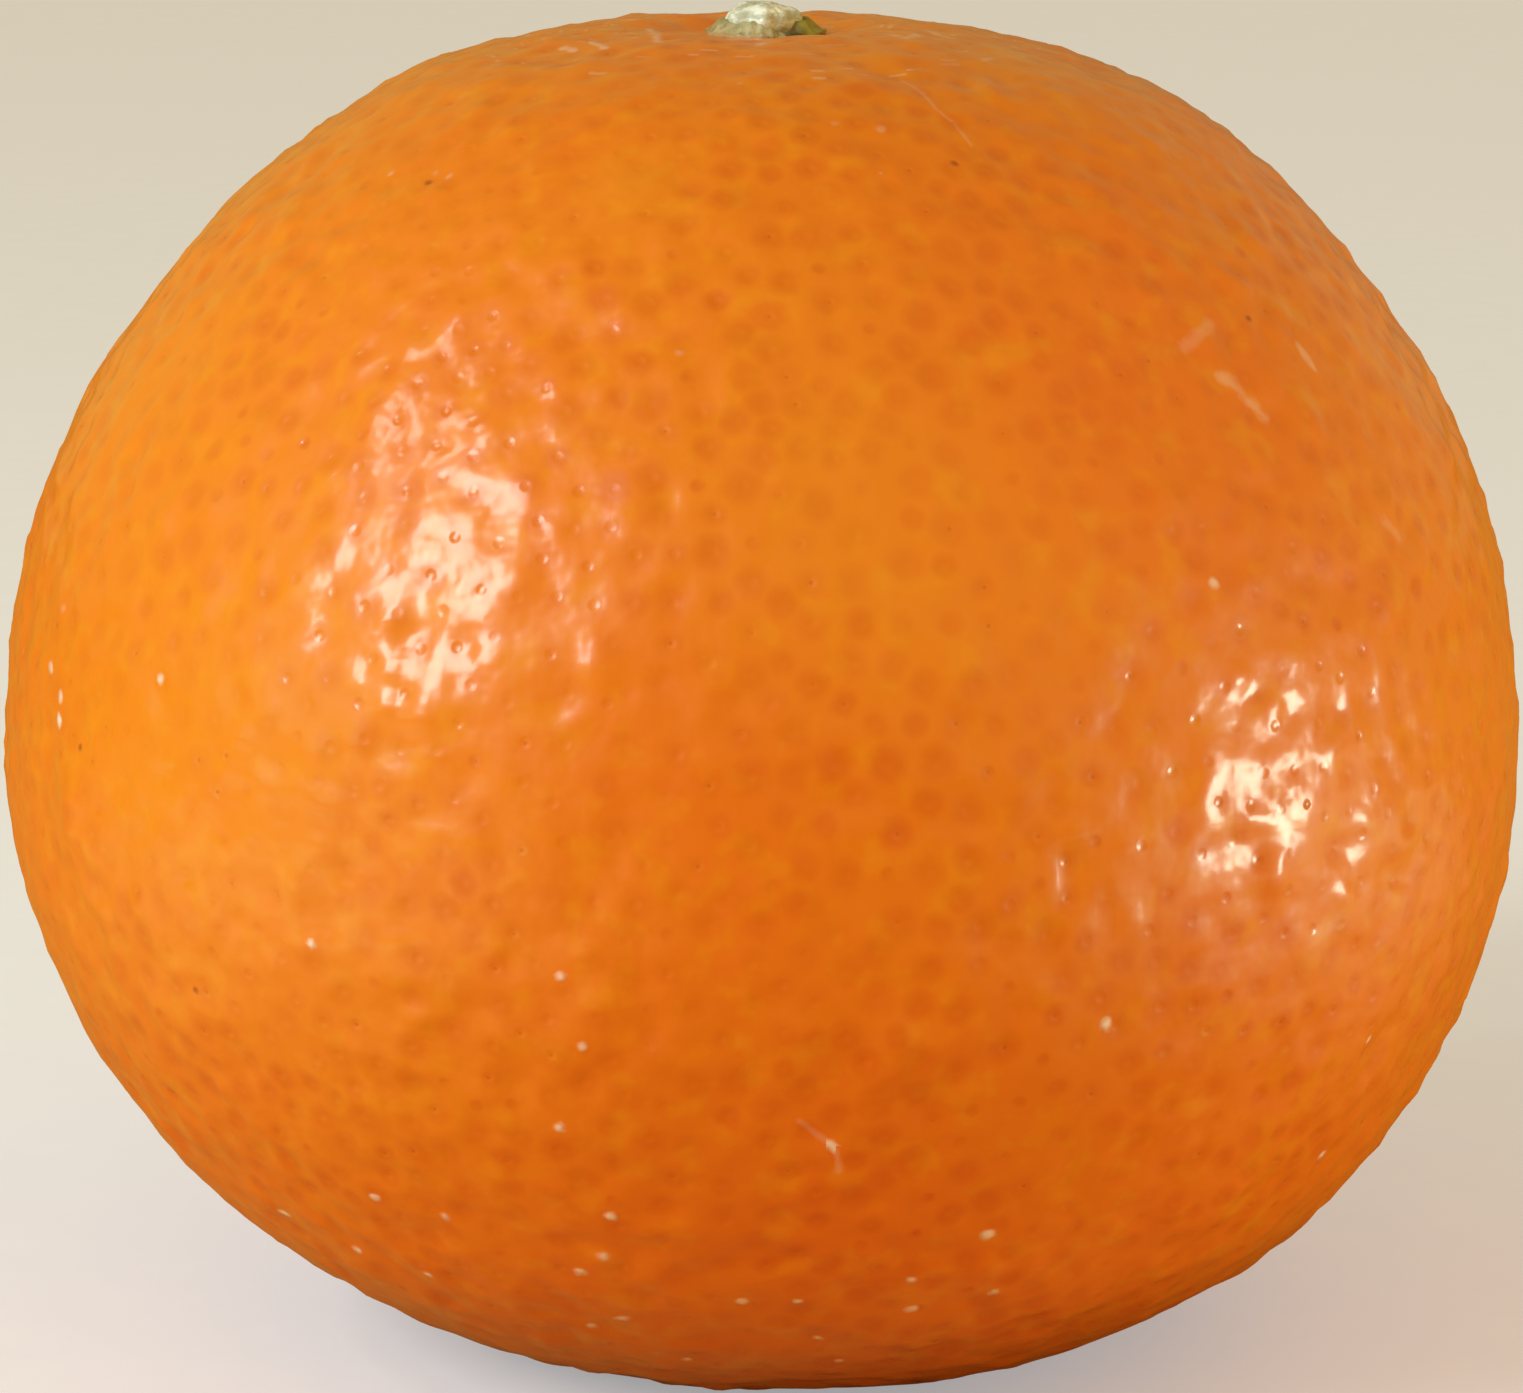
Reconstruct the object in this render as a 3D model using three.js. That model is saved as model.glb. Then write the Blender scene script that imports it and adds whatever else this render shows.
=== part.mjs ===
// A whole fresh tangor resting on its blossom end: the fruit, the calyx in its stem basin and the cut stem stub.
// Millimetres, +Z up. The origin is on the resting surface, straight below the stem. The front faces -Y.

import * as THREE from 'three';

// Fruit
const FRUIT_RADIUS = 34;
const FRUIT_HEIGHT = 59.4;
const MIDDLE_HEIGHT = 30;
const BLOSSOM_END_DRIFT = 1.35;
const SWELLING_FADE = 4;
const TURN_STEPS = 72;
const OUTLINE_STEPS = 39;

// Side outline from the edge of the resting spot up to the edge of the basin floor,
// as shares of the fruit's radius and height.
const SIDE_OUTLINE = [
  [0.265, 0], [0.382, 0.005], [0.588, 0.051], [0.776, 0.133], [0.915, 0.246], [0.994, 0.379], [1, 0.52],
  [0.947, 0.657], [0.832, 0.778], [0.676, 0.882], [0.482, 0.96], [0.288, 0.993], [0.159, 1], [0.106, 0.993],
];
const BASIN_FLOOR = SIDE_OUTLINE.at(-1)[1] * FRUIT_HEIGHT;

// Broad swellings and hollows of the rind: degrees round from the front, degrees above the middle,
// spread in degrees, and height in millimetres.
const SWELLINGS = [
  [85, 62, 17, 0.22], [-85, 62, 17, -0.22], [88, 35, 18, 0.12], [-20, 5, 22, 0.2], [35, -25, 20, -0.2],
  [150, 18, 20, 0.4], [-150, -8, 22, -0.4], [185, -38, 20, 0.35], [-165, 45, 18, 0.3], [125, -30, 18, -0.3],
];

// Calyx: a flat star of blunt sepals
const SEPAL_COUNT = 5;
const SEPAL_STEPS = 8;
const CALYX_RADIUS = 2.7;
const SEPAL_REACH = 0.45;
const CALYX_THICKNESS = 0.4;

// Stem stub: a low dome, as shares of its radius and height
const STUB_RADIUS = 1.75;
const STUB_HEIGHT = 1.05;
const STUB_STEPS = 24;
const STUB_OUTLINE = [[0, 0], [0.9, 0], [1, 0.3], [0.92, 0.66], [0.68, 0.93], [0.3, 1], [0, 0.97]];

// Direction from the fruit's middle, given degrees round from the front and degrees above the middle
function direction(turn, rise) {
  const around = THREE.MathUtils.degToRad(turn);
  const above = THREE.MathUtils.degToRad(rise);
  return new THREE.Vector3(Math.cos(above) * Math.sin(around), -Math.cos(above) * Math.cos(around), Math.sin(above));
}

// Sum of the swellings along one outward direction
function swellingAlong(outward) {
  let height = 0;
  for (const [turn, rise, spread, peak] of SWELLINGS) {
    const width = THREE.MathUtils.degToRad(spread);
    height += peak * Math.exp((outward.dot(direction(turn, rise)) - 1) / (width * width));
  }
  return height;
}

// Moves a point of the round fruit to its grown place. The resting spot and the basin floor stay flat.
function growPoint(point) {
  const level = point.z;
  const outward = point.clone().sub(new THREE.Vector3(0, 0, MIDDLE_HEIGHT)).normalize();
  const fadeLow = THREE.MathUtils.smoothstep(level, 0, SWELLING_FADE);
  const fadeHigh = 1 - THREE.MathUtils.smoothstep(level, BASIN_FLOOR - SWELLING_FADE, BASIN_FLOOR);
  point.addScaledVector(outward, swellingAlong(outward) * fadeLow * fadeHigh);
  const below = Math.max(0, (MIDDLE_HEIGHT - level) / MIDDLE_HEIGHT);
  point.x += BLOSSOM_END_DRIFT * below * below;
}

// Solid of revolution about +Z from [radius, height] pairs that start and end on the axis
function turned(outline, steps) {
  const geometry = new THREE.LatheGeometry(outline.map(([radius, height]) => new THREE.Vector2(radius, height)), steps);
  return geometry.rotateX(Math.PI / 2);
}

function fruitGeometry() {
  const corners = SIDE_OUTLINE.map(([across, up]) => new THREE.Vector2(across * FRUIT_RADIUS, up * FRUIT_HEIGHT));
  const side = new THREE.SplineCurve(corners).getPoints(OUTLINE_STEPS).map((corner) => corner.toArray());
  const geometry = turned([[0, 0], ...side, [0, BASIN_FLOOR]], TURN_STEPS);
  const position = geometry.attributes.position;
  const point = new THREE.Vector3();
  for (let i = 0; i < position.count; i += 1) {
    growPoint(point.fromBufferAttribute(position, i));
    position.setXYZ(i, point.x, point.y, point.z);
  }
  geometry.computeVertexNormals();
  return geometry;
}

function calyxGeometry() {
  const corners = [];
  for (let i = 0; i < SEPAL_COUNT * SEPAL_STEPS; i += 1) {
    const angle = (i / (SEPAL_COUNT * SEPAL_STEPS)) * 2 * Math.PI;
    const radius = CALYX_RADIUS + SEPAL_REACH * Math.cos(SEPAL_COUNT * angle);
    corners.push(new THREE.Vector2(radius * Math.cos(angle), radius * Math.sin(angle)));
  }
  return new THREE.ExtrudeGeometry(new THREE.Shape(corners), { depth: CALYX_THICKNESS, bevelEnabled: false });
}

function stubGeometry() {
  return turned(STUB_OUTLINE.map(([across, up]) => [across * STUB_RADIUS, up * STUB_HEIGHT]), STUB_STEPS);
}

// One named piece with its own finish, standing at a height on the stem axis
function piece(name, geometry, height, color, roughness) {
  const mesh = new THREE.Mesh(geometry, new THREE.MeshStandardMaterial({ color, roughness, metalness: 0 }));
  mesh.name = name;
  mesh.position.z = height;
  return mesh;
}

const tangor = new THREE.Group();
tangor.name = 'tangor';
tangor.add(
  piece('fruit', fruitGeometry(), 0, 0xe8851c, 0.4),
  piece('calyx', calyxGeometry(), BASIN_FLOOR, 0x6f7438, 0.7),
  piece('stem_stub', stubGeometry(), BASIN_FLOOR + CALYX_THICKNESS, 0xbdbb9c, 0.65),
);

export default tangor;
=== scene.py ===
"""A whole fresh tangor on a pale floor: pitted waxy rind, dried calyx and cut stem stub.

It is built around its CAD frame. Shapes are worked out in millimetres and written to the meshes in metres.
The front faces -Y, and +Z is up.
"""

import math

import bpy
import numpy as np
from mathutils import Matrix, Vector, bvhtree, kdtree, noise


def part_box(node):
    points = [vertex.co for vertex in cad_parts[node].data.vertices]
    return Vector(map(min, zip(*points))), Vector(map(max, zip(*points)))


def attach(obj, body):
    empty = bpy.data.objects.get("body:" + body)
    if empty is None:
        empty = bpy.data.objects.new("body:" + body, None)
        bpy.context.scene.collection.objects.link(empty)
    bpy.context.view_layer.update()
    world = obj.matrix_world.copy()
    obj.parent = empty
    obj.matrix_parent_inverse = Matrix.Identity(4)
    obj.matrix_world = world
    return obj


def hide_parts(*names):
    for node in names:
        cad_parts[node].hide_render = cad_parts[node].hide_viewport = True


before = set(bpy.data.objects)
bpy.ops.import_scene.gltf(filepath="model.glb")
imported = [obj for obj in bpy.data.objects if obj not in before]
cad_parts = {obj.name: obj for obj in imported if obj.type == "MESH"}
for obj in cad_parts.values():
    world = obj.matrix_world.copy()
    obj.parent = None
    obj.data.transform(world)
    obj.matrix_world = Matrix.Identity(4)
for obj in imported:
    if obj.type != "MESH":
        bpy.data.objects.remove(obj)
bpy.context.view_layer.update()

MM = 0.001
SEED = 20

# Photograph and camera
PHOTO_WIDTH = 1523
PHOTO_HEIGHT = 1393
LENS = 135.0
SENSOR = 36.0
VIEW_RISE = 12.0
VIEW_DISTANCE = 260.0
AIM_HEIGHT = 28.9

# Fruit: side outline from the edge of the resting spot up to the basin floor, as shares of radius and height
SIDE_OUTLINE = [
    (0.265, 0), (0.382, 0.005), (0.588, 0.051), (0.776, 0.133), (0.915, 0.246), (0.994, 0.379), (1, 0.52),
    (0.947, 0.657), (0.832, 0.778), (0.676, 0.882), (0.482, 0.96), (0.288, 0.993), (0.159, 1), (0.106, 0.993),
]
ROUND_SHARE = 0.9955
MIDDLE_SHARE = 0.505
BLOSSOM_END_DRIFT = 1.35
SWELLING_FADE = 4.0
OUTLINE_STEPS = 40
CUBE_STEPS = 128
ATLAS_MARGIN = 0.01

# Broad swellings and hollows: degrees round from the front, degrees above the middle, spread, height in mm
SWELLINGS = [
    (85, 62, 17, 0.22), (-85, 62, 17, -0.22), (88, 35, 18, 0.12), (-20, 5, 22, 0.2), (35, -25, 20, -0.2),
    (150, 18, 20, 0.4), (-150, -8, 22, -0.4), (185, -38, 20, 0.35), (-165, 45, 18, 0.3), (125, -30, 18, -0.3),
]

# Relief of the rind, in mm: soft waves (size, height) and scattered round knobs (spacing, radius, height)
WAVES = [(9.0, 0.08), (4.2, 0.055)]
KNOBS = [(1.5, 0.8, 0.032), (0.85, 0.41, 0.033)]
KNOB_LIMIT = 3.0
KNOB_REACH = 3.0
CALM_SIZE = 9.0
CALM_SHARE = 0.5
FURROW_COUNT = 11
FURROW_DEPTH = 0.05
FURROW_REACH = 9.0

# Oil glands, in mm
GLAND_SPACING = 1.45
GLAND_SPACING_SWING = 0.4
GLAND_SPACING_PATCH = 7.0
GLAND_RADIUS = 0.80
GLAND_SIZES = [0.45, 0.8, 1.0, 1.15]
GLAND_SIZE_ODDS = [0.12, 0.28, 0.4, 0.2]
GLAND_TONES = (0.5, 1.0)
GLAND_DIMPLE = 0.025
PIT_DEPTHS = (0.3, 1.0)
PIT_RADIUS = 0.30

# Ripeness: how it grows with height, and patches read from the photograph as (pixel, spread in mm, change)
RIPE_LOW = 0.30
RIPE_HIGH = 0.62
RIPE_PATCHES = [
    ((230, 740), 8.0, 0.30), ((110, 480), 8.0, 0.12), ((850, 520), 5.0, 0.14), ((1230, 470), 7.0, -0.26),
    ((1080, 280), 6.0, -0.12), ((650, 790), 5.0, -0.14), ((760, 1060), 8.0, -0.12), ((630, 184), 1.6, 0.3),
    ((1050, 70), 4.0, 0.2), ((300, 1080), 8.0, 0.16),
]
RIPE_CLOUDS = [(14.0, 0.10), (5.0, 0.10)]

# Marks read from the photograph, as pixels
PALE_SPECKS = [
    (561, 977), (583, 1046), (559, 1127), (612, 1216), (603, 1257), (580, 1271), (622, 1320), (591, 1329),
    (741, 1302), (797, 1302), (911, 1279), (912, 1309), (817, 1338), (687, 1358), (839, 1359), (987, 1234),
    (994, 1291), (1107, 1025), (1367, 1040), (1322, 1156), (313, 943), (375, 1197), (444, 1218), (285, 1215),
    (358, 1251), (429, 1273), (51, 668), (61, 697), (59, 720), (158, 680), (1215, 582),
]
FAINT_SPECKS = [
    (66, 609), (435, 172), (449, 175), (391, 173), (835, 124), (881, 130), (881, 174), (740, 85), (679, 352),
]
DARK_DOTS = [(196, 991), (81, 747), (428, 181), (955, 163), (1305, 804), (1248, 318)]
CREASE = [(904, 78), (923, 92), (936, 108), (955, 123), (971, 144)]

# Pale scuffs as start and end pixels, radius in mm and strength. Those on the top band by the stem are partly
# pale flakes and partly painted glints
SCUFFS_AND_GLINTS = [
    ((1185, 345), (1210, 325), 0.4, 0.12), ((1222, 375), (1268, 416), 0.36, 0.22),
    ((1298, 345), (1314, 368), 0.3, 0.25), ((1388, 522), (1400, 536), 0.38, 0.12),
    ((831, 1146), (835, 1150), 0.34, 0.8), ((800, 1124), (828, 1144), 0.2, 0.12),
    ((836, 1152), (839, 1172), 0.22, 0.16), ((622, 21), (634, 22), 0.3, 0.4),
    ((652, 28), (658, 42), 0.3, 0.35), ((562, 46), (574, 48), 0.3, 0.35),
    ((590, 41), (606, 47), 0.25, 0.35), ((880, 32), (900, 36), 0.3, 0.3),
    ((905, 40), (918, 34), 0.3, 0.3), ((930, 30), (950, 36), 0.3, 0.3),
]

# Sizes of the marks in mm, and their tones from -1, dark, to 1, pale
CHAIN_STEP = 0.2
SPECK_RADIUS = 0.32
SPECK_TONES = (0.6, 0.95)
FAINT_TONES = (0.1, 0.22)
# Pale streaks round the stem: partly waxy flakes, partly painted glints of the top band
HIDDEN_SPECKS = 70
HIDDEN_TONES = [0.8, 0.6, 0.5, -0.6]
STEM_FLAKES_AND_GLINTS = 150
STREAK_RADIUS = 0.13
STREAK_REACH = (3.5, 13.0)
STREAK_LENGTHS = (0.2, 0.8)
STREAK_TONES = (0.06, 0.28)
DOT_RADIUS = 0.22
DOT_TONE = -0.7
LINE_RADIUS = 0.13
CREASE_TONE = 0.11

# Calyx: degrees round from +X and reach of each sepal, and its shape in mm
SEPALS = [(8, 1.0), (84, 0.8), (150, 0.9), (204, 0.86), (256, 0.8)]
SEPAL_HALF_WIDTH = 38.0
NOTCH_SHARE = 0.72
CALYX_RISE = 0.56
CALYX_EDGE = 0.14
CALYX_SINK = 0.06
RIB_RADIUS = 3
RIB_STRETCH = 0.4
RIB_SIZE = 0.5
RIB_HEIGHT = 0.10
CALYX_GRAIN_SIZE = 0.3
CALYX_GRAIN_HEIGHT = 0.04

# Stub: its share of the CAD radius, its base above the basin floor and its relief, in mm
STUB_SHARE = 0.94
STUB_BASE = 0.5
STUB_KNOB_SIZE = 0.7
STUB_KNOB_HEIGHT = 0.13
STUB_GRAIN_SIZE = 0.25
STUB_GRAIN_HEIGHT = 0.06

# Rings of points that make the calyx and the stub
RING_STEPS = 180
RINGS = 26
UNDERSIDE_SHARE = 0.96

# Rind colours
DEEP_ORANGE = (0.79, 0.127, 0.003, 1)
PALE_ORANGE = (0.81, 0.243, 0.006, 1)
NET_YELLOW = (0.83, 0.298, 0.009, 1)
# Painted shade: multiplied into the rind's colour near the floor, standing in for the contact shadow
PAINTED_FLOOR_SHADE = (0.66, 0.56, 0.50, 1)
GLAND_SHADE = (0.90, 0.75, 0.63, 1)
# Pale marks, with painted glints on the top band among them
SPECK_AND_GLINT_CREAM = (0.90, 0.72, 0.66, 1)

# Colours as a screen shows them, from 0 to 255
PIT_BROWN = (150, 62, 10)
# Near the stem: partly the rind's own tint, partly a painted sheen of the top band
STEM_TINT_AND_SHEEN = (222, 150, 50)
SCAR_BROWN = (120, 84, 50)
SEPAL_TAN = (158, 146, 104)
SEPAL_PALE = (196, 186, 152)
SEPAL_ORANGE = (196, 132, 62)
SEPAL_GREEN = (150, 138, 52)
SEPAL_TIP = (96, 92, 40)
# Painted shadow for the gap under the stub
SEPAL_PAINTED_SHADOW = (44, 30, 16)
SEPAL_GRAIN = (84, 80, 44)
STUB_GREY = (196, 200, 188)
STUB_WHITE = (252, 254, 252)
STUB_FOOT = (150, 140, 108)
STUB_GRAIN = (150, 150, 112)

# Finish of the rind: sizes of its colour patches and bumps in mm, its gloss and its wax
PATCH_SIZE = 12.0
BLOTCH_SIZE = 4.0
NET_SIZE = 1.7
FLECK_SIZE = 0.8
GRAIN_SIZE = 1.0
BUMP_DEPTH = 0.06
RIND_GLOSS = 0.24
WAX_WEIGHT = 0.6
WAX_ROUGHNESS = 0.19

# Studio
LIGHT_BOUNCES = 3
FLOOR_RADIUS = 4000.0
FLOOR_SIDES = 96
SKY_BASE = (0.06, 0.05, 0.02)
BACKDROP = (0.62, 0.61, 0.60, 1)

# Glows of the surroundings: degrees round from the front, degrees above the horizon, sharpness, radiance
SKY_GLOWS = [
    (0, 20, 2, (0.12, 0.10, 0.04)), (-75, 20, 2, (0.28, 0.27, 0.12)), (75, 15, 2, (0.72, 0.54, 0.17)),
    (80, -2, 30, (0.4, 0.7, 0.48)), (0, 70, 2, (0.32, 0.20, 0.06)), (-68, 0, 20, (0.5, 1.2, 0.7)),
    (-150, 5, 6, (0.5, 0.34, 0.08)), (150, 12, 10, (0.40, 0.26, 0.13)), (180, 35, 6, (0.12, 0.08, 0.03)),
]

# Floor: its looks and the warmer light that it throws back
FLOOR_PALE = ((0.60, 0.61, 0.68, 1), (0.64, 0.65, 0.72, 1))
FLOOR_GLOW = (0.80, 0.80, 0.83, 1)
FLOOR_BOUNCE = (0.72, 0.40, 0.10, 1)
FLOOR_LIFT = 0.42

# Pools of light on the floor that the camera doesn't see: centre and radius in metres, radiance
POOLS = [((0.16, -0.05, 0.0), 0.13, 2.1), ((-0.14, -0.075, 0.0), 0.13, 1.3)]
POOL_COLOUR = (0.70, 1.0, 0.60, 1)

# A lamp nearer than this, in mm, doesn't light the floor
NEAR_LAMP = 200

# Soft lamps: name, pixel where its reflection shows, distance, width and height in mm, radiance, colour
LAMPS = [
    ("window_left", (445, 585), 450, 122, 195, 19.0, (0.86, 0.98, 0.94)),
    ("window_top", (425, 425), 450, 76, 36, 19.0, (0.86, 0.98, 0.94)),
    ("lamp_right", (1268, 795), 160, 37, 35, 28.0, (0.82, 1.0, 0.80)),
]

# Frame sizes in mm
fruit_low, fruit_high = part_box("fruit")
calyx_low, calyx_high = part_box("calyx")
stub_low, stub_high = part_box("stem_stub")
fruit_height = fruit_high.z / MM
fruit_radius = ROUND_SHARE * (fruit_high.x - fruit_low.x) / 2 / MM
middle_height = MIDDLE_SHARE * fruit_height
skin_area = math.pi * (fruit_radius + fruit_height / 2) ** 2
basin_floor = calyx_low.z / MM
calyx_radius = (calyx_high.x - calyx_low.x) / 2 / MM
stub_radius = (stub_high.x - stub_low.x) / 2 / MM
stub_top = stub_high.z / MM


def linear(red, green, blue):
    """Shader colour of a screen colour given from 0 to 255."""
    shares = np.array([red, green, blue]) / 255
    return (*np.where(shares <= 0.04045, shares / 12.92, ((shares + 0.055) / 1.055) ** 2.4), 1.0)


def smoothstep(value, low, high):
    share = np.clip((value - low) / (high - low), 0, 1)
    return share * share * (3 - 2 * share)


def noise_at(points, size, shift=0.0):
    """Smooth noise from about -1 to 1, with bumps of that size."""
    offset = Vector((shift, 2 * shift, 3 * shift))
    return np.array([noise.noise(Vector(point) / size + offset) for point in points])


def tree_of(points):
    tree = kdtree.KDTree(len(points))
    for index, point in enumerate(points):
        tree.insert(point, index)
    tree.balance()
    return tree


def aim(turn, rise):
    """Unit direction, given degrees round from the front and degrees above the horizon."""
    around, above = math.radians(turn), math.radians(rise)
    level = math.cos(above)
    return np.array([level * math.sin(around), -level * math.cos(around), math.sin(above)])


# Fruit surface
def outline_points():
    """Radius, height and arc length along the fruit's side, from the bottom axis to the basin's axis."""
    corners = np.array(SIDE_OUTLINE) * (fruit_radius, fruit_height)
    points = [(0.0, 0.0)]
    for i in range(len(corners) - 1):
        before, start = corners[max(i - 1, 0)], corners[i]
        end, after = corners[i + 1], corners[min(i + 2, len(corners) - 1)]
        leave, arrive = (end - before) / 2, (after - start) / 2
        for t in np.arange(OUTLINE_STEPS) / OUTLINE_STEPS:
            cubic = (2 * start - 2 * end + leave + arrive) * t ** 3
            square = (3 * end - 3 * start - 2 * leave - arrive) * t ** 2
            points.append(cubic + square + leave * t + start)
    points += [corners[-1], (0.0, corners[-1][1])]
    points = np.array(points)
    steps = np.linalg.norm(np.diff(points, axis=0), axis=1)
    return points[:, 0], points[:, 1], np.append(0, np.cumsum(steps))


def swelling_along(outward):
    height = np.zeros(len(outward))
    for turn, rise, spread, peak in SWELLINGS:
        height += peak * np.exp((outward @ aim(turn, rise) - 1) / math.radians(spread) ** 2)
    return height


def fruit_surface(directions):
    """Points of the smooth fruit, in mm, spread along its side as the directions spread from pole to pole."""
    radius, height, length = outline_points()
    along = np.arccos(np.clip(-directions[:, 2], -1, 1)) / math.pi * length[-1]
    across = np.interp(along, length, radius)
    level = np.interp(along, length, height)
    flat = np.hypot(directions[:, 0], directions[:, 1])
    flat[flat == 0] = 1
    points = np.column_stack([across * directions[:, 0] / flat, across * directions[:, 1] / flat, level])
    outward = points - (0, 0, middle_height)
    outward /= np.linalg.norm(outward, axis=1)[:, None]
    fade = smoothstep(level, 0, SWELLING_FADE)
    fade *= 1 - smoothstep(level, basin_floor - SWELLING_FADE, basin_floor)
    points += outward * (swelling_along(outward) * fade)[:, None]
    points[:, 0] += BLOSSOM_END_DRIFT * np.clip(1 - level / middle_height, 0, 1) ** 2
    return points


def cube_grid(steps):
    """Unit directions, quads and atlas places of a cube blown up to a ball. Its sides share their edges."""
    first, second = np.meshgrid(np.arange(steps + 1), np.arange(steps + 1), indexing="ij")
    sides, places = [], []
    for axis in range(3):
        for end in (0, steps):
            side = np.empty(first.shape + (3,), int)
            side[..., axis] = end
            side[..., (axis + 1) % 3] = first if end else second
            side[..., (axis + 2) % 3] = second if end else first
            number = len(sides)
            sides.append(side.reshape(-1, 3))
            inner = ATLAS_MARGIN + np.stack([first, second], -1) / steps * (1 - 2 * ATLAS_MARGIN)
            places.append(((inner + (number % 3, number // 3)) / (3, 2)).reshape(-1, 2))
    corners, number_of = np.unique(np.concatenate(sides), axis=0, return_inverse=True)
    cell = (first[:-1, :-1] * (steps + 1) + second[:-1, :-1]).ravel()
    quad = np.stack([cell, cell + steps + 1, cell + steps + 2, cell + 1], 1)
    loops = np.concatenate([quad + side * (steps + 1) ** 2 for side in range(6)])
    spread = np.tan((corners / steps - 0.5) * math.pi / 2)
    directions = spread / np.linalg.norm(spread, axis=1)[:, None]
    return directions, number_of.ravel()[loops], np.concatenate(places)[loops]


class Skin:
    """The smooth fruit before its relief: points, quads, atlas places and the trees that search them."""

    def __init__(self):
        directions, self.quads, self.places = cube_grid(CUBE_STEPS)
        self.points = fruit_surface(directions)
        self.tree = tree_of(self.points)
        corners = [Vector(point) for point in self.points]
        self.hull = bvhtree.BVHTree.FromPolygons(corners, self.quads.tolist())

    def seen_at(self, pixel):
        """Where the sight line through a pixel of the photo meets the fruit, and its mirrored direction."""
        right, up, back = camera_axes()
        focus = LENS / SENSOR * PHOTO_WIDTH
        sight = right * (pixel[0] - PHOTO_WIDTH / 2) - up * (pixel[1] - PHOTO_HEIGHT / 2) - back * focus
        sight = Vector(sight).normalized()
        spot, normal, _, _ = self.hull.ray_cast(Vector(camera_place()), sight)
        return np.array(spot), np.array(sight.reflect(normal))

    def near_stem(self, reach, turn):
        """Point of the upper surface at a distance from the stem axis."""
        above = Vector((reach * math.cos(turn), reach * math.sin(turn), 2 * fruit_height))
        spot, _, _, _ = self.hull.ray_cast(above, Vector((0, 0, -1)))
        return np.array(spot)


def scatter_glands(skin, random):
    """Numbers of the points that become gland centres, each keeping its own clear space."""
    spacing = GLAND_SPACING + GLAND_SPACING_SWING * noise_at(skin.points, GLAND_SPACING_PATCH, 5.0)
    free = np.ones(len(skin.points), bool)
    chosen = []
    for i in random.permutation(len(skin.points)):
        if free[i]:
            chosen.append(i)
            for _, near, _ in skin.tree.find_range(skin.points[i], spacing[i]):
                free[near] = False
    return np.array(chosen)


def nearest(centres, points, count):
    """Numbers of the nearest centres for each point, and the distances to them, nearest first."""
    tree = tree_of(centres)
    found = [tree.find_n(point, count) for point in points]
    numbers = np.array([[number for _, number, _ in row] for row in found])
    return numbers, np.array([[distance for _, _, distance in row] for row in found])


def knob_height(skin, random, spacing, radius, peak):
    """Sum of round bumps and hollows scattered over the skin, in mm."""
    height = np.zeros(len(skin.points))
    count = int(skin_area / spacing ** 2)
    centres = random.choice(len(skin.points), count, replace=False)
    rises = peak * np.clip(random.standard_t(2, count), -KNOB_LIMIT, KNOB_LIMIT)
    for centre, rise in zip(centres, rises):
        found = skin.tree.find_range(skin.points[centre], KNOB_REACH * radius)
        distances = np.array([distance for _, _, distance in found])
        height[[number for _, number, _ in found]] += rise * np.exp(-0.5 * (distances / radius) ** 2)
    return height


def relief(skin, random, gland_share):
    """How far the rind stands out from the smooth surface, in mm. The resting spot stays flat."""
    points = skin.points
    height = np.zeros(len(points))
    for number, (size, peak) in enumerate(WAVES):
        height += peak * noise_at(points, size, 11.0 * number)
    for spacing, radius, peak in KNOBS:
        height += knob_height(skin, random, spacing, radius, peak)
    height *= 1 + CALM_SHARE * noise_at(points, CALM_SIZE, 70.0)
    height -= GLAND_DIMPLE * (1 - smoothstep(gland_share, 0.3, 1.1))
    from_stem = np.hypot(points[:, 0], points[:, 1])
    at_top = smoothstep(points[:, 2], middle_height, fruit_height)
    around = np.arctan2(points[:, 1], points[:, 0])
    ripple = np.cos(FURROW_COUNT * around + 1.5 * noise_at(points, 6.0, 3.0))
    ring = smoothstep(from_stem, calyx_radius, 1.6 * calyx_radius)
    ring *= 1 - smoothstep(from_stem, 5, FURROW_REACH)
    height += FURROW_DEPTH * ripple * ring * at_top
    clear_of_floor = smoothstep(points[:, 2], 0.0, 1.5)
    clear_of_calyx = 1 - at_top * (1 - smoothstep(from_stem, calyx_radius, 1.5 * calyx_radius))
    return height * clear_of_floor * clear_of_calyx


def ripeness(skin):
    """Colour of the rind at each point, from 0, deep orange, to 1, pale orange."""
    ripe = RIPE_LOW + (RIPE_HIGH - RIPE_LOW) * smoothstep(skin.points[:, 2], 0.0, 0.75 * fruit_height)
    for pixel, spread, change in RIPE_PATCHES:
        spot, _ = skin.seen_at(pixel)
        distance = np.linalg.norm(skin.points - spot, axis=1)
        ripe += change * np.exp(-0.5 * (distance / spread) ** 2)
    for number, (size, swing) in enumerate(RIPE_CLOUDS):
        ripe += swing * noise_at(skin.points, size, 40.0 + number)
    return np.clip(ripe, 0, 1)


# Camera
def camera_axes():
    back = aim(0, VIEW_RISE)
    right = np.array([1.0, 0.0, 0.0])
    return right, np.cross(back, right), back


def camera_place():
    return np.array([0, 0, AIM_HEIGHT]) + VIEW_DISTANCE * aim(0, VIEW_RISE)


def make_camera():
    camera = bpy.data.objects.new("camera", bpy.data.cameras.new("camera"))
    camera.data.lens = LENS
    camera.data.sensor_width = SENSOR
    camera.location = camera_place() * MM
    camera.rotation_euler = (math.radians(90 - VIEW_RISE), 0, 0)
    bpy.context.scene.collection.objects.link(camera)
    bpy.context.scene.camera = camera


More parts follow.
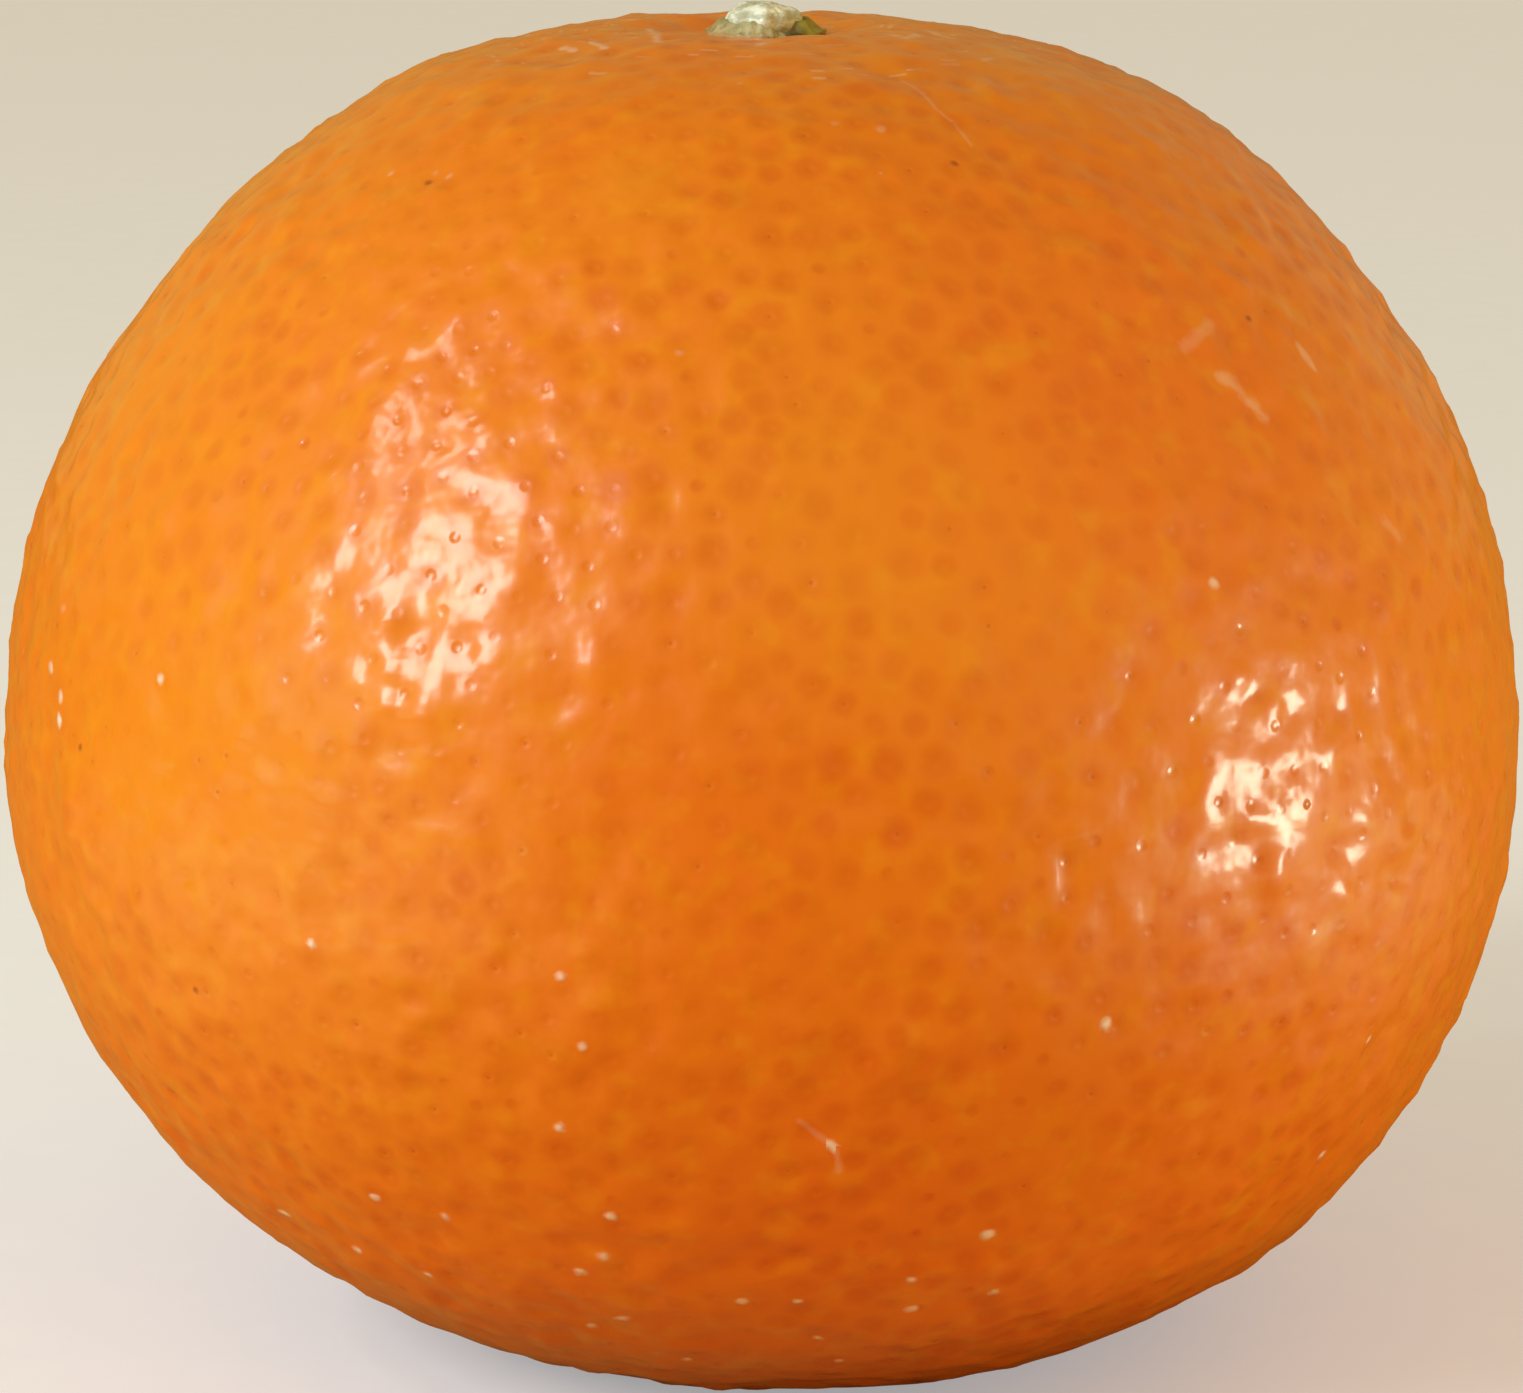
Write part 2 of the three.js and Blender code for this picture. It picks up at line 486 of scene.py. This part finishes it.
# Marks on the rind
def rind_marks(skin, random):
    """Start, end, radius and tone of each speck, streak, dot, crease line and scuff on the rind. The streaks
    round the stem and the scuffs on the top band are partly pale flakes and partly painted glints.
    """
    marks = []
    for pixel in PALE_SPECKS:
        spot, _ = skin.seen_at(pixel)
        marks.append((spot, spot, SPECK_RADIUS * random.uniform(0.7, 1.2), random.uniform(*SPECK_TONES)))
    for pixel in FAINT_SPECKS:
        spot, _ = skin.seen_at(pixel)
        marks.append((spot, spot, SPECK_RADIUS * random.uniform(0.5, 0.8), random.uniform(*FAINT_TONES)))
    # Pale streaks round the stem, partly painted glints
    for _ in range(STEM_FLAKES_AND_GLINTS):
        reach, turn = random.uniform(*STREAK_REACH), random.uniform(0, 2 * math.pi)
        length = random.uniform(*STREAK_LENGTHS)
        start, end = skin.near_stem(reach, turn), skin.near_stem(reach, turn + length / reach)
        marks.append((start, end, STREAK_RADIUS * random.uniform(0.6, 1.4), random.uniform(*STREAK_TONES)))
    for pixel in DARK_DOTS:
        spot, _ = skin.seen_at(pixel)
        marks.append((spot, spot, DOT_RADIUS, DOT_TONE))
    for start, end in zip(CREASE, CREASE[1:]):
        marks.append((skin.seen_at(start)[0], skin.seen_at(end)[0], LINE_RADIUS, CREASE_TONE))
    # Scuffs; the ones on the top band by the stem are partly painted glints
    for start, end, radius, tone in SCUFFS_AND_GLINTS:
        marks.append((skin.seen_at(start)[0], skin.seen_at(end)[0], radius, tone))
    behind = np.flatnonzero(skin.points[:, 1] > 0)
    for i in random.choice(behind, HIDDEN_SPECKS, replace=False):
        tone = random.choice(HIDDEN_TONES)
        marks.append((skin.points[i], skin.points[i], SPECK_RADIUS * random.uniform(0.6, 1.1), tone))
    return marks


def nearest_marks(marks, points):
    """Number of the mark nearest to each point. A long mark is sampled along its length."""
    samples, owners = [], []
    for number, (start, end, _, _) in enumerate(marks):
        count = 1 + int(np.linalg.norm(end - start) / CHAIN_STEP)
        samples += [start + (end - start) * t for t in np.linspace(0, 1, count)]
        owners += [number] * count
    numbers, _ = nearest(samples, points, 1)
    return np.array(owners)[numbers[:, 0]]


# Meshes
def mesh_object(name, points, faces, material):
    """A smooth-shaded piece from points in mm."""
    mesh = bpy.data.meshes.new(name)
    mesh.from_pydata((np.asarray(points) * MM).tolist(), [], [list(map(int, face)) for face in faces])
    mesh.polygons.foreach_set("use_smooth", np.ones(len(mesh.polygons), bool))
    mesh.materials.append(material)
    mesh.update()
    piece = bpy.data.objects.new(name, mesh)
    bpy.context.scene.collection.objects.link(piece)
    return piece


def add_attribute(mesh, name, kind, domain, values):
    attribute = mesh.attributes.new(name, kind, domain)
    key = "vector" if kind == "FLOAT_VECTOR" else "value"
    attribute.data.foreach_set(key, np.ascontiguousarray(values, np.float32).ravel())


def make_fruit(skin, material):
    random = np.random.default_rng(SEED)
    rest = skin.points
    glands = rest[scatter_glands(skin, random)]
    radii = GLAND_RADIUS * random.choice(GLAND_SIZES, len(glands), p=GLAND_SIZE_ODDS)
    tones = random.uniform(*GLAND_TONES, len(glands))
    pits = random.uniform(*PIT_DEPTHS, len(glands))
    looks = np.column_stack([radii, tones, pits])

    fruit = mesh_object("fruit_rind", rest, skin.quads, material)
    mesh = fruit.data
    normals = np.empty(len(rest) * 3, np.float32)
    mesh.vertex_normals.foreach_get("vector", normals)
    numbers, distances = nearest(glands, rest, 1)
    height = relief(skin, random, distances[:, 0] / radii[numbers[:, 0]])
    grown = rest + normals.reshape(-1, 3) * height[:, None]
    mesh.vertices.foreach_set("co", (grown * MM).astype(np.float32).ravel())

    middles = rest[skin.quads].mean(axis=1)
    numbers, _ = nearest(glands, middles, 2)
    add_attribute(mesh, "rest", "FLOAT_VECTOR", "POINT", rest)
    add_attribute(mesh, "ripeness", "FLOAT", "POINT", ripeness(skin))
    for name, number in (("first", numbers[:, 0]), ("second", numbers[:, 1])):
        add_attribute(mesh, name + "_gland", "FLOAT_VECTOR", "FACE", glands[number])
        add_attribute(mesh, name + "_look", "FLOAT_VECTOR", "FACE", looks[number])
    marks = rind_marks(skin, random)
    number = nearest_marks(marks, middles)
    starts, ends, mark_radii, mark_tones = (np.array(column)[number] for column in zip(*marks))
    add_attribute(mesh, "mark_start", "FLOAT_VECTOR", "FACE", starts)
    add_attribute(mesh, "mark_end", "FLOAT_VECTOR", "FACE", ends)
    add_attribute(mesh, "mark_radius", "FLOAT", "FACE", mark_radii)
    add_attribute(mesh, "mark_tone", "FLOAT", "FACE", mark_tones)
    atlas = mesh.uv_layers.new(name="OFBake")
    atlas.uv.foreach_set("vector", skin.places.astype(np.float32).ravel())
    mesh.update()
    return fruit


# Calyx and stub: rings of points round the stem, closed underneath
def ring_noise(radii, angle, level, size, shift):
    """Smooth noise at points round the stem, in rows of rings."""
    grid = np.broadcast_arrays(radii * np.cos(angle), radii * np.sin(angle), level)
    return noise_at(np.stack(grid, -1).reshape(-1, 3), size, shift).reshape(grid[0].shape)


def ring_surface(name, heights, radii, bottom, material):
    """A closed piece from rings of heights and radii, from the rim to the middle, over a flat underside."""
    rows, steps = heights.shape
    angle = np.arange(steps) / steps * 2 * math.pi
    top = np.stack([radii * np.cos(angle), radii * np.sin(angle), heights], -1).reshape(-1, 3)
    rim = np.column_stack([top[:steps, :2] * UNDERSIDE_SHARE, np.full(steps, bottom)])
    points = np.concatenate([top, [[0, 0, heights[-1].mean()]], rim, [[0, 0, bottom]]])
    crown, floor = rows * steps, rows * steps + 1 + steps
    faces = []
    for j in range(steps):
        k = (j + 1) % steps
        for i in range(rows - 1):
            faces.append((i * steps + j, i * steps + k, (i + 1) * steps + k, (i + 1) * steps + j))
        faces.append(((rows - 1) * steps + j, (rows - 1) * steps + k, crown))
        faces.append((crown + 1 + j, crown + 1 + k, k, j))
        faces.append((crown + 1 + k, crown + 1 + j, floor))
    return mesh_object(name, points, faces, material)


def make_calyx(material):
    angle = np.degrees(np.arange(RING_STEPS) / RING_STEPS * 2 * math.pi)
    reach = np.full(RING_STEPS, NOTCH_SHARE)
    lift = np.zeros(RING_STEPS)
    for turn, length in SEPALS:
        apart = np.abs((angle - turn + 180) % 360 - 180) / SEPAL_HALF_WIDTH
        lobe = np.clip(1 - apart ** 2, 0, 1) ** 0.6
        reach = np.maximum(reach, NOTCH_SHARE + (length - NOTCH_SHARE) * lobe)
        lift = np.maximum(lift, lobe)
    share = np.linspace(1, 0.05, RINGS)[:, None]
    radii = calyx_radius * reach * share
    turn = np.radians(angle)
    ribs = RIB_HEIGHT * ring_noise(RIB_RADIUS, turn, RIB_STRETCH * radii, RIB_SIZE, 2.0)
    wrinkle = ribs + CALYX_GRAIN_HEIGHT * ring_noise(radii, turn, 0.0, CALYX_GRAIN_SIZE, 9.0)
    slope = CALYX_EDGE * (0.4 + 0.6 * lift)
    slope = slope + CALYX_RISE * smoothstep(1 - share, 0.0, 0.32) * (0.35 + 0.65 * lift)
    heights = basin_floor + slope + wrinkle
    return ring_surface("calyx_sepals", heights, radii, basin_floor - CALYX_SINK, material)


def make_stub(material):
    angle = np.arange(RING_STEPS) / RING_STEPS * 2 * math.pi
    slant = np.linspace(0, 1, RINGS)[:, None]
    across = np.cos(slant * math.pi / 2 * 0.97) ** 0.75
    rise = np.sin(slant * math.pi / 2) ** 0.8
    lumps = 1 + 0.07 * np.cos(5 * angle + 0.6) + 0.05 * np.cos(8 * angle)
    radii = stub_radius * across * lumps * STUB_SHARE
    knobs = STUB_KNOB_HEIGHT * ring_noise(radii, angle, rise, STUB_KNOB_SIZE, 4.0)
    knobs = knobs + STUB_GRAIN_HEIGHT * ring_noise(radii, angle, rise, STUB_GRAIN_SIZE, 7.0)
    base = basin_floor + STUB_BASE
    heights = base + (stub_top - base) * rise * (0.92 + knobs)
    return ring_surface("stem_stub_cut", heights, radii * (1 + 0.25 * knobs), basin_floor, material)


# Materials
class Graph:
    """Adds nodes to a material's or world's tree; every method returns the new node's output."""

    def __init__(self, owner):
        owner.use_nodes = True
        self.owner = owner
        self.tree = owner.node_tree

    def plug(self, socket, value):
        if isinstance(value, bpy.types.NodeSocket):
            self.tree.links.new(value, socket)
        else:
            socket.default_value = value

    def put(self, kind, inputs, out=0, **settings):
        node = self.tree.nodes.new(kind)
        for name, value in settings.items():
            setattr(node, name, value)
        for name, value in inputs.items():
            self.plug(node.inputs[name], value)
        return node.outputs[out]

    def finish(self, shader="Principled BSDF", **inputs):
        for name, value in inputs.items():
            self.plug(self.tree.nodes[shader].inputs[name.replace("_", " ")], value)
        return self.owner

    def vector(self, name):
        return self.put("ShaderNodeAttribute", {}, "Vector", attribute_name=name)

    def number(self, name):
        return self.put("ShaderNodeAttribute", {}, "Fac", attribute_name=name)

    def math(self, operation, first, second=0.0):
        return self.put("ShaderNodeMath", {0: first, 1: second}, operation=operation)

    def times(self, first, second):
        return self.math("MULTIPLY", first, second)

    def plus(self, first, second):
        return self.math("ADD", first, second)

    def larger(self, first, second):
        return self.math("MAXIMUM", first, second)

    def part(self, vector, axis):
        return self.put("ShaderNodeSeparateXYZ", {0: vector}, axis)

    def distance(self, first, second):
        return self.vector_math("DISTANCE", first, second, "Value")

    def dot(self, first, second):
        return self.vector_math("DOT_PRODUCT", first, second, "Value")

    def vector_math(self, operation, first, second, out="Vector"):
        return self.put("ShaderNodeVectorMath", {0: first, 1: second}, out, operation=operation)

    def line_distance(self, place, start, end):
        """Distance from the line between two points."""
        along = self.vector_math("SUBTRACT", end, start)
        offset = self.vector_math("SUBTRACT", place, start)
        share = self.math("DIVIDE", self.dot(offset, along), self.plus(self.dot(along, along), 1e-6))
        share = self.math("MINIMUM", self.larger(share, 0.0), 1.0)
        return self.distance(offset, self.vector_math("MULTIPLY", along, share))

    def noise(self, vector, size, detail=2.0):
        return self.put("ShaderNodeTexNoise", {"Vector": vector, "Scale": 1 / size, "Detail": detail}, "Fac")

    def span(self, value, low, high, to_low=0.0, to_high=1.0):
        limits = {"Value": value, "From Min": low, "From Max": high, "To Min": to_low, "To Max": to_high}
        return self.put("ShaderNodeMapRange", limits, 0, interpolation_type="SMOOTHSTEP")

    def mix(self, share, first, second, blend="MIX"):
        inputs = {0: share, 6: first, 7: second}
        return self.put("ShaderNodeMix", inputs, 2, data_type="RGBA", blend_type=blend)

    def bump(self, height, depth):
        return self.put("ShaderNodeBump", {"Height": height, "Strength": 1.0, "Distance": depth})

    def object_place(self):
        return self.put("ShaderNodeTexCoord", {}, "Object")

    def seen(self):
        """1 for what the camera looks at directly, 0 for bounced light."""
        return self.put("ShaderNodeLightPath", {}, "Is Camera Ray")


def gland_spot(graph, place, ragged, name):
    """Soft spot of one of the two nearest glands, and the small pit at its centre."""
    distance = graph.distance(place, graph.vector(name + "_gland"))
    look = graph.vector(name + "_look")
    share = graph.math("DIVIDE", graph.plus(distance, ragged), graph.part(look, "X"))
    spot = graph.times(graph.span(share, 0.35, 1.2, 1.0, 0.0), graph.part(look, "Y"))
    pit = graph.times(graph.span(distance, 0.05, PIT_RADIUS, 1.0, 0.0), graph.part(look, "Z"))
    return spot, pit


def rind_material():
    graph = Graph(bpy.data.materials.new("rind"))
    place = graph.vector("rest")
    patches = graph.noise(place, PATCH_SIZE)
    blotches = graph.noise(place, BLOTCH_SIZE)
    net = graph.noise(place, NET_SIZE)
    flecks = graph.noise(place, FLECK_SIZE, 3.0)
    grain = graph.noise(place, GRAIN_SIZE, 1.0)
    pit_brown = linear(*PIT_BROWN)
    height = graph.part(place, "Z")
    ripe = graph.number("ripeness")
    ground = graph.mix(ripe, DEEP_ORANGE, PALE_ORANGE)
    ground = graph.mix(graph.span(net, 0.48, 0.74, 0.0, 0.38), ground, NET_YELLOW)
    near_stem = graph.span(height, 0.93 * fruit_height, fruit_height)
    # Peach tint near the stem: partly the stem end's own colour, partly a painted sheen of the top band
    tint_and_sheen = graph.times(near_stem, graph.span(blotches, 0.4, 0.7, 0.0, 0.15))
    ground = graph.mix(tint_and_sheen, ground, linear(*STEM_TINT_AND_SHEEN))
    # Painted shade: the rind darkens from 11 mm down towards the floor, where the contact shadow falls
    ground = graph.mix(graph.span(height, 1.0, 11.0, 0.9, 0.0), ground, PAINTED_FLOOR_SHADE, "MULTIPLY")

    ragged = graph.times(graph.math("SUBTRACT", flecks, 0.5), 0.35)
    spot, pit = gland_spot(graph, place, ragged, "first")
    second_spot, _ = gland_spot(graph, place, ragged, "second")
    shown = graph.span(patches, 0.36, 0.62, 0.45, 1.0)
    shown = graph.times(shown, graph.span(ripe, 0.62, 0.95, 1.0, 0.45))
    spot = graph.times(graph.larger(spot, second_spot), shown)
    colour = graph.mix(spot, ground, GLAND_SHADE, "MULTIPLY")
    colour = graph.mix(graph.span(pit, 0.85, 1.0, 0.0, 0.3), colour, pit_brown)

    mark_distance = graph.line_distance(place, graph.vector("mark_start"), graph.vector("mark_end"))
    mark_share = graph.math("DIVIDE", mark_distance, graph.number("mark_radius"))
    mark_tone = graph.number("mark_tone")
    mark = graph.span(graph.plus(mark_share, graph.times(ragged, 6.0)), 0.1, 1.2, 1.0, 0.0)
    mark = graph.times(mark, mark_tone)
    # Pale marks: the rind's specks, flakes, scuffs and crease, with painted glints among them on the top band
    colour = graph.mix(graph.larger(mark, 0.0), colour, SPECK_AND_GLINT_CREAM)
    colour = graph.mix(graph.larger(graph.times(mark, -1.0), 0.0), colour, pit_brown)
    scar = graph.distance(place, (BLOSSOM_END_DRIFT, 0.0, 0.0))
    colour = graph.mix(graph.span(graph.plus(scar, flecks), 1.2, 2.2, 1.0, 0.0), colour, linear(*SCAR_BROWN))

    bumps = graph.plus(graph.times(grain, 0.8), graph.times(pit, -0.4))
    bumps = graph.plus(bumps, graph.times(graph.span(mark_share, 0.1, 1.2, 0.9, 0.0), mark_tone))
    roughness = graph.span(net, 0.35, 0.65, 0.5, 0.36)
    normal = graph.bump(bumps, BUMP_DEPTH * MM)
    return graph.finish(
        Base_Color=colour, Roughness=roughness, Normal=normal, Specular_IOR_Level=RIND_GLOSS,
        Coat_Weight=WAX_WEIGHT, Coat_Roughness=WAX_ROUGHNESS, Coat_Normal=normal,
    )


def calyx_material():
    graph = Graph(bpy.data.materials.new("calyx"))
    place = graph.object_place()
    across = graph.part(place, "X")
    patches = graph.noise(place, 1.6 * MM, 3.0)
    grain = graph.noise(graph.vector_math("MULTIPLY", place, (1.0, 1.0, 0.2)), 0.3 * MM, 4.0)
    colour = graph.mix(graph.span(patches, 0.4, 0.62), linear(*SEPAL_TAN), linear(*SEPAL_PALE))
    from_stem = graph.distance(graph.vector_math("MULTIPLY", place, (1.0, 1.0, 0.0)), (0.0, 0.0, 0.0))
    colour = graph.mix(graph.span(from_stem, 1.9 * MM, 2.7 * MM, 0.0, 0.6), colour, linear(*SEPAL_ORANGE))
    colour = graph.mix(graph.span(across, 1.2 * MM, 1.9 * MM), colour, linear(*SEPAL_GREEN))
    colour = graph.mix(graph.span(across, -2.75 * MM, -2.4 * MM, 1.0, 0.0), colour, linear(*SEPAL_TIP))
    # Painted shadow: dark brown at the front right, in the gap under the stub's overhang, where shade falls
    shadow_gap = graph.distance(place, (1.6 * MM, -1.5 * MM, (basin_floor + 0.3) * MM))
    colour = graph.mix(graph.span(shadow_gap, 0.35 * MM, 0.9 * MM, 0.95, 0.0), colour, linear(*SEPAL_PAINTED_SHADOW))
    colour = graph.mix(graph.span(grain, 0.45, 0.7, 0.0, 0.45), colour, linear(*SEPAL_GRAIN))
    return graph.finish(Base_Color=colour, Roughness=0.5, Normal=graph.bump(grain, 0.05 * MM))


def stub_material():
    graph = Graph(bpy.data.materials.new("stem"))
    place = graph.object_place()
    patches = graph.noise(graph.vector_math("MULTIPLY", place, (0.5, 0.5, 1.6)), 0.5 * MM, 3.0)
    grain = graph.noise(place, 0.2 * MM, 4.0)
    colour = graph.mix(graph.span(patches, 0.4, 0.65), linear(*STUB_GREY), linear(*STUB_WHITE))
    low = graph.span(graph.part(place, "Z"), (basin_floor + 0.3) * MM, (basin_floor + 0.9) * MM, 1.0, 0.0)
    colour = graph.mix(graph.times(low, 0.35), colour, linear(*STUB_FOOT))
    colour = graph.mix(graph.span(grain, 0.58, 0.8, 0.0, 0.4), colour, linear(*STUB_GRAIN))
    return graph.finish(Base_Color=colour, Roughness=0.16, Normal=graph.bump(grain, 0.06 * MM))


def floor_material():
    """Pale to look at. The light it throws back is warm and weaker, as from a table top."""
    graph = Graph(bpy.data.materials.new("floor"))
    place = graph.object_place()
    pale = graph.mix(graph.noise(place, 4 * MM, 2.0), *FLOOR_PALE)
    seen = graph.seen()
    pools = 0.0
    for centre, radius, radiance in POOLS:
        pools = graph.plus(graph.span(graph.distance(place, centre), 0.0, radius, radiance, 0.0), pools)
    pools = graph.times(pools, graph.math("SUBTRACT", 1.0, seen))
    return graph.finish(
        Base_Color=graph.mix(seen, FLOOR_BOUNCE, pale), Roughness=0.8, Specular_IOR_Level=0.2,
        Emission_Color=graph.mix(seen, POOL_COLOUR, FLOOR_GLOW),
        Emission_Strength=graph.plus(graph.times(seen, FLOOR_LIFT), pools),
    )


# Studio
def make_floor():
    angle = np.arange(FLOOR_SIDES) / FLOOR_SIDES * 2 * math.pi
    rim = np.column_stack([FLOOR_RADIUS * np.cos(angle), FLOOR_RADIUS * np.sin(angle), np.zeros(FLOOR_SIDES)])
    floor = mesh_object("floor", rim, [range(FLOOR_SIDES)], floor_material())


def make_lamps(skin, pieces):
    """Each lamp stands where the fruit mirrors it to the camera at its pixel."""
    lit = bpy.data.collections.new("lit_pieces")
    for piece in pieces:
        lit.objects.link(piece)
    for name, pixel, distance, width, height, radiance, colour in LAMPS:
        light = bpy.data.lights.new(name, "AREA")
        light.shape = "RECTANGLE"
        light.size = width * MM
        light.size_y = height * MM
        light.energy = radiance * math.pi * light.size * light.size_y
        light.color = colour
        lamp = bpy.data.objects.new(name, light)
        spot, mirrored = skin.seen_at(pixel)
        lamp.location = (spot + distance * mirrored) * MM
        lamp.rotation_euler = Vector(mirrored).to_track_quat("Z", "Y").to_euler()
        lamp.visible_camera = False
        if distance < NEAR_LAMP:
            lamp.light_linking.receiver_collection = lit
        bpy.context.scene.collection.objects.link(lamp)


def make_world():
    """Soft glows all round. Seen directly, the surroundings are a pale backdrop."""
    world = bpy.data.worlds.new("studio")
    bpy.context.scene.world = world
    graph = Graph(world)
    facing = graph.put("ShaderNodeTexCoord", {}, "Generated")
    light = SKY_BASE
    for turn, rise, power, radiance in SKY_GLOWS:
        share = graph.math("POWER", graph.larger(graph.dot(facing, aim(turn, rise)), 0.0), power)
        light = graph.vector_math("ADD", light, graph.vector_math("MULTIPLY", share, radiance))
    graph.finish("Background", Color=graph.mix(graph.seen(), light, BACKDROP))


make_camera()
skin = Skin()
make_floor()
make_world()
bpy.context.scene.view_settings.view_transform = "Standard"
bpy.context.scene.cycles.max_bounces = LIGHT_BOUNCES

pieces = [make_fruit(skin, rind_material()), make_calyx(calyx_material()), make_stub(stub_material())]
make_lamps(skin, pieces)
for piece, node, slot in zip(pieces, ("fruit", "calyx", "stem_stub"), ("rind", "calyx", "stem")):
    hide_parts(node)
    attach(piece, "root")
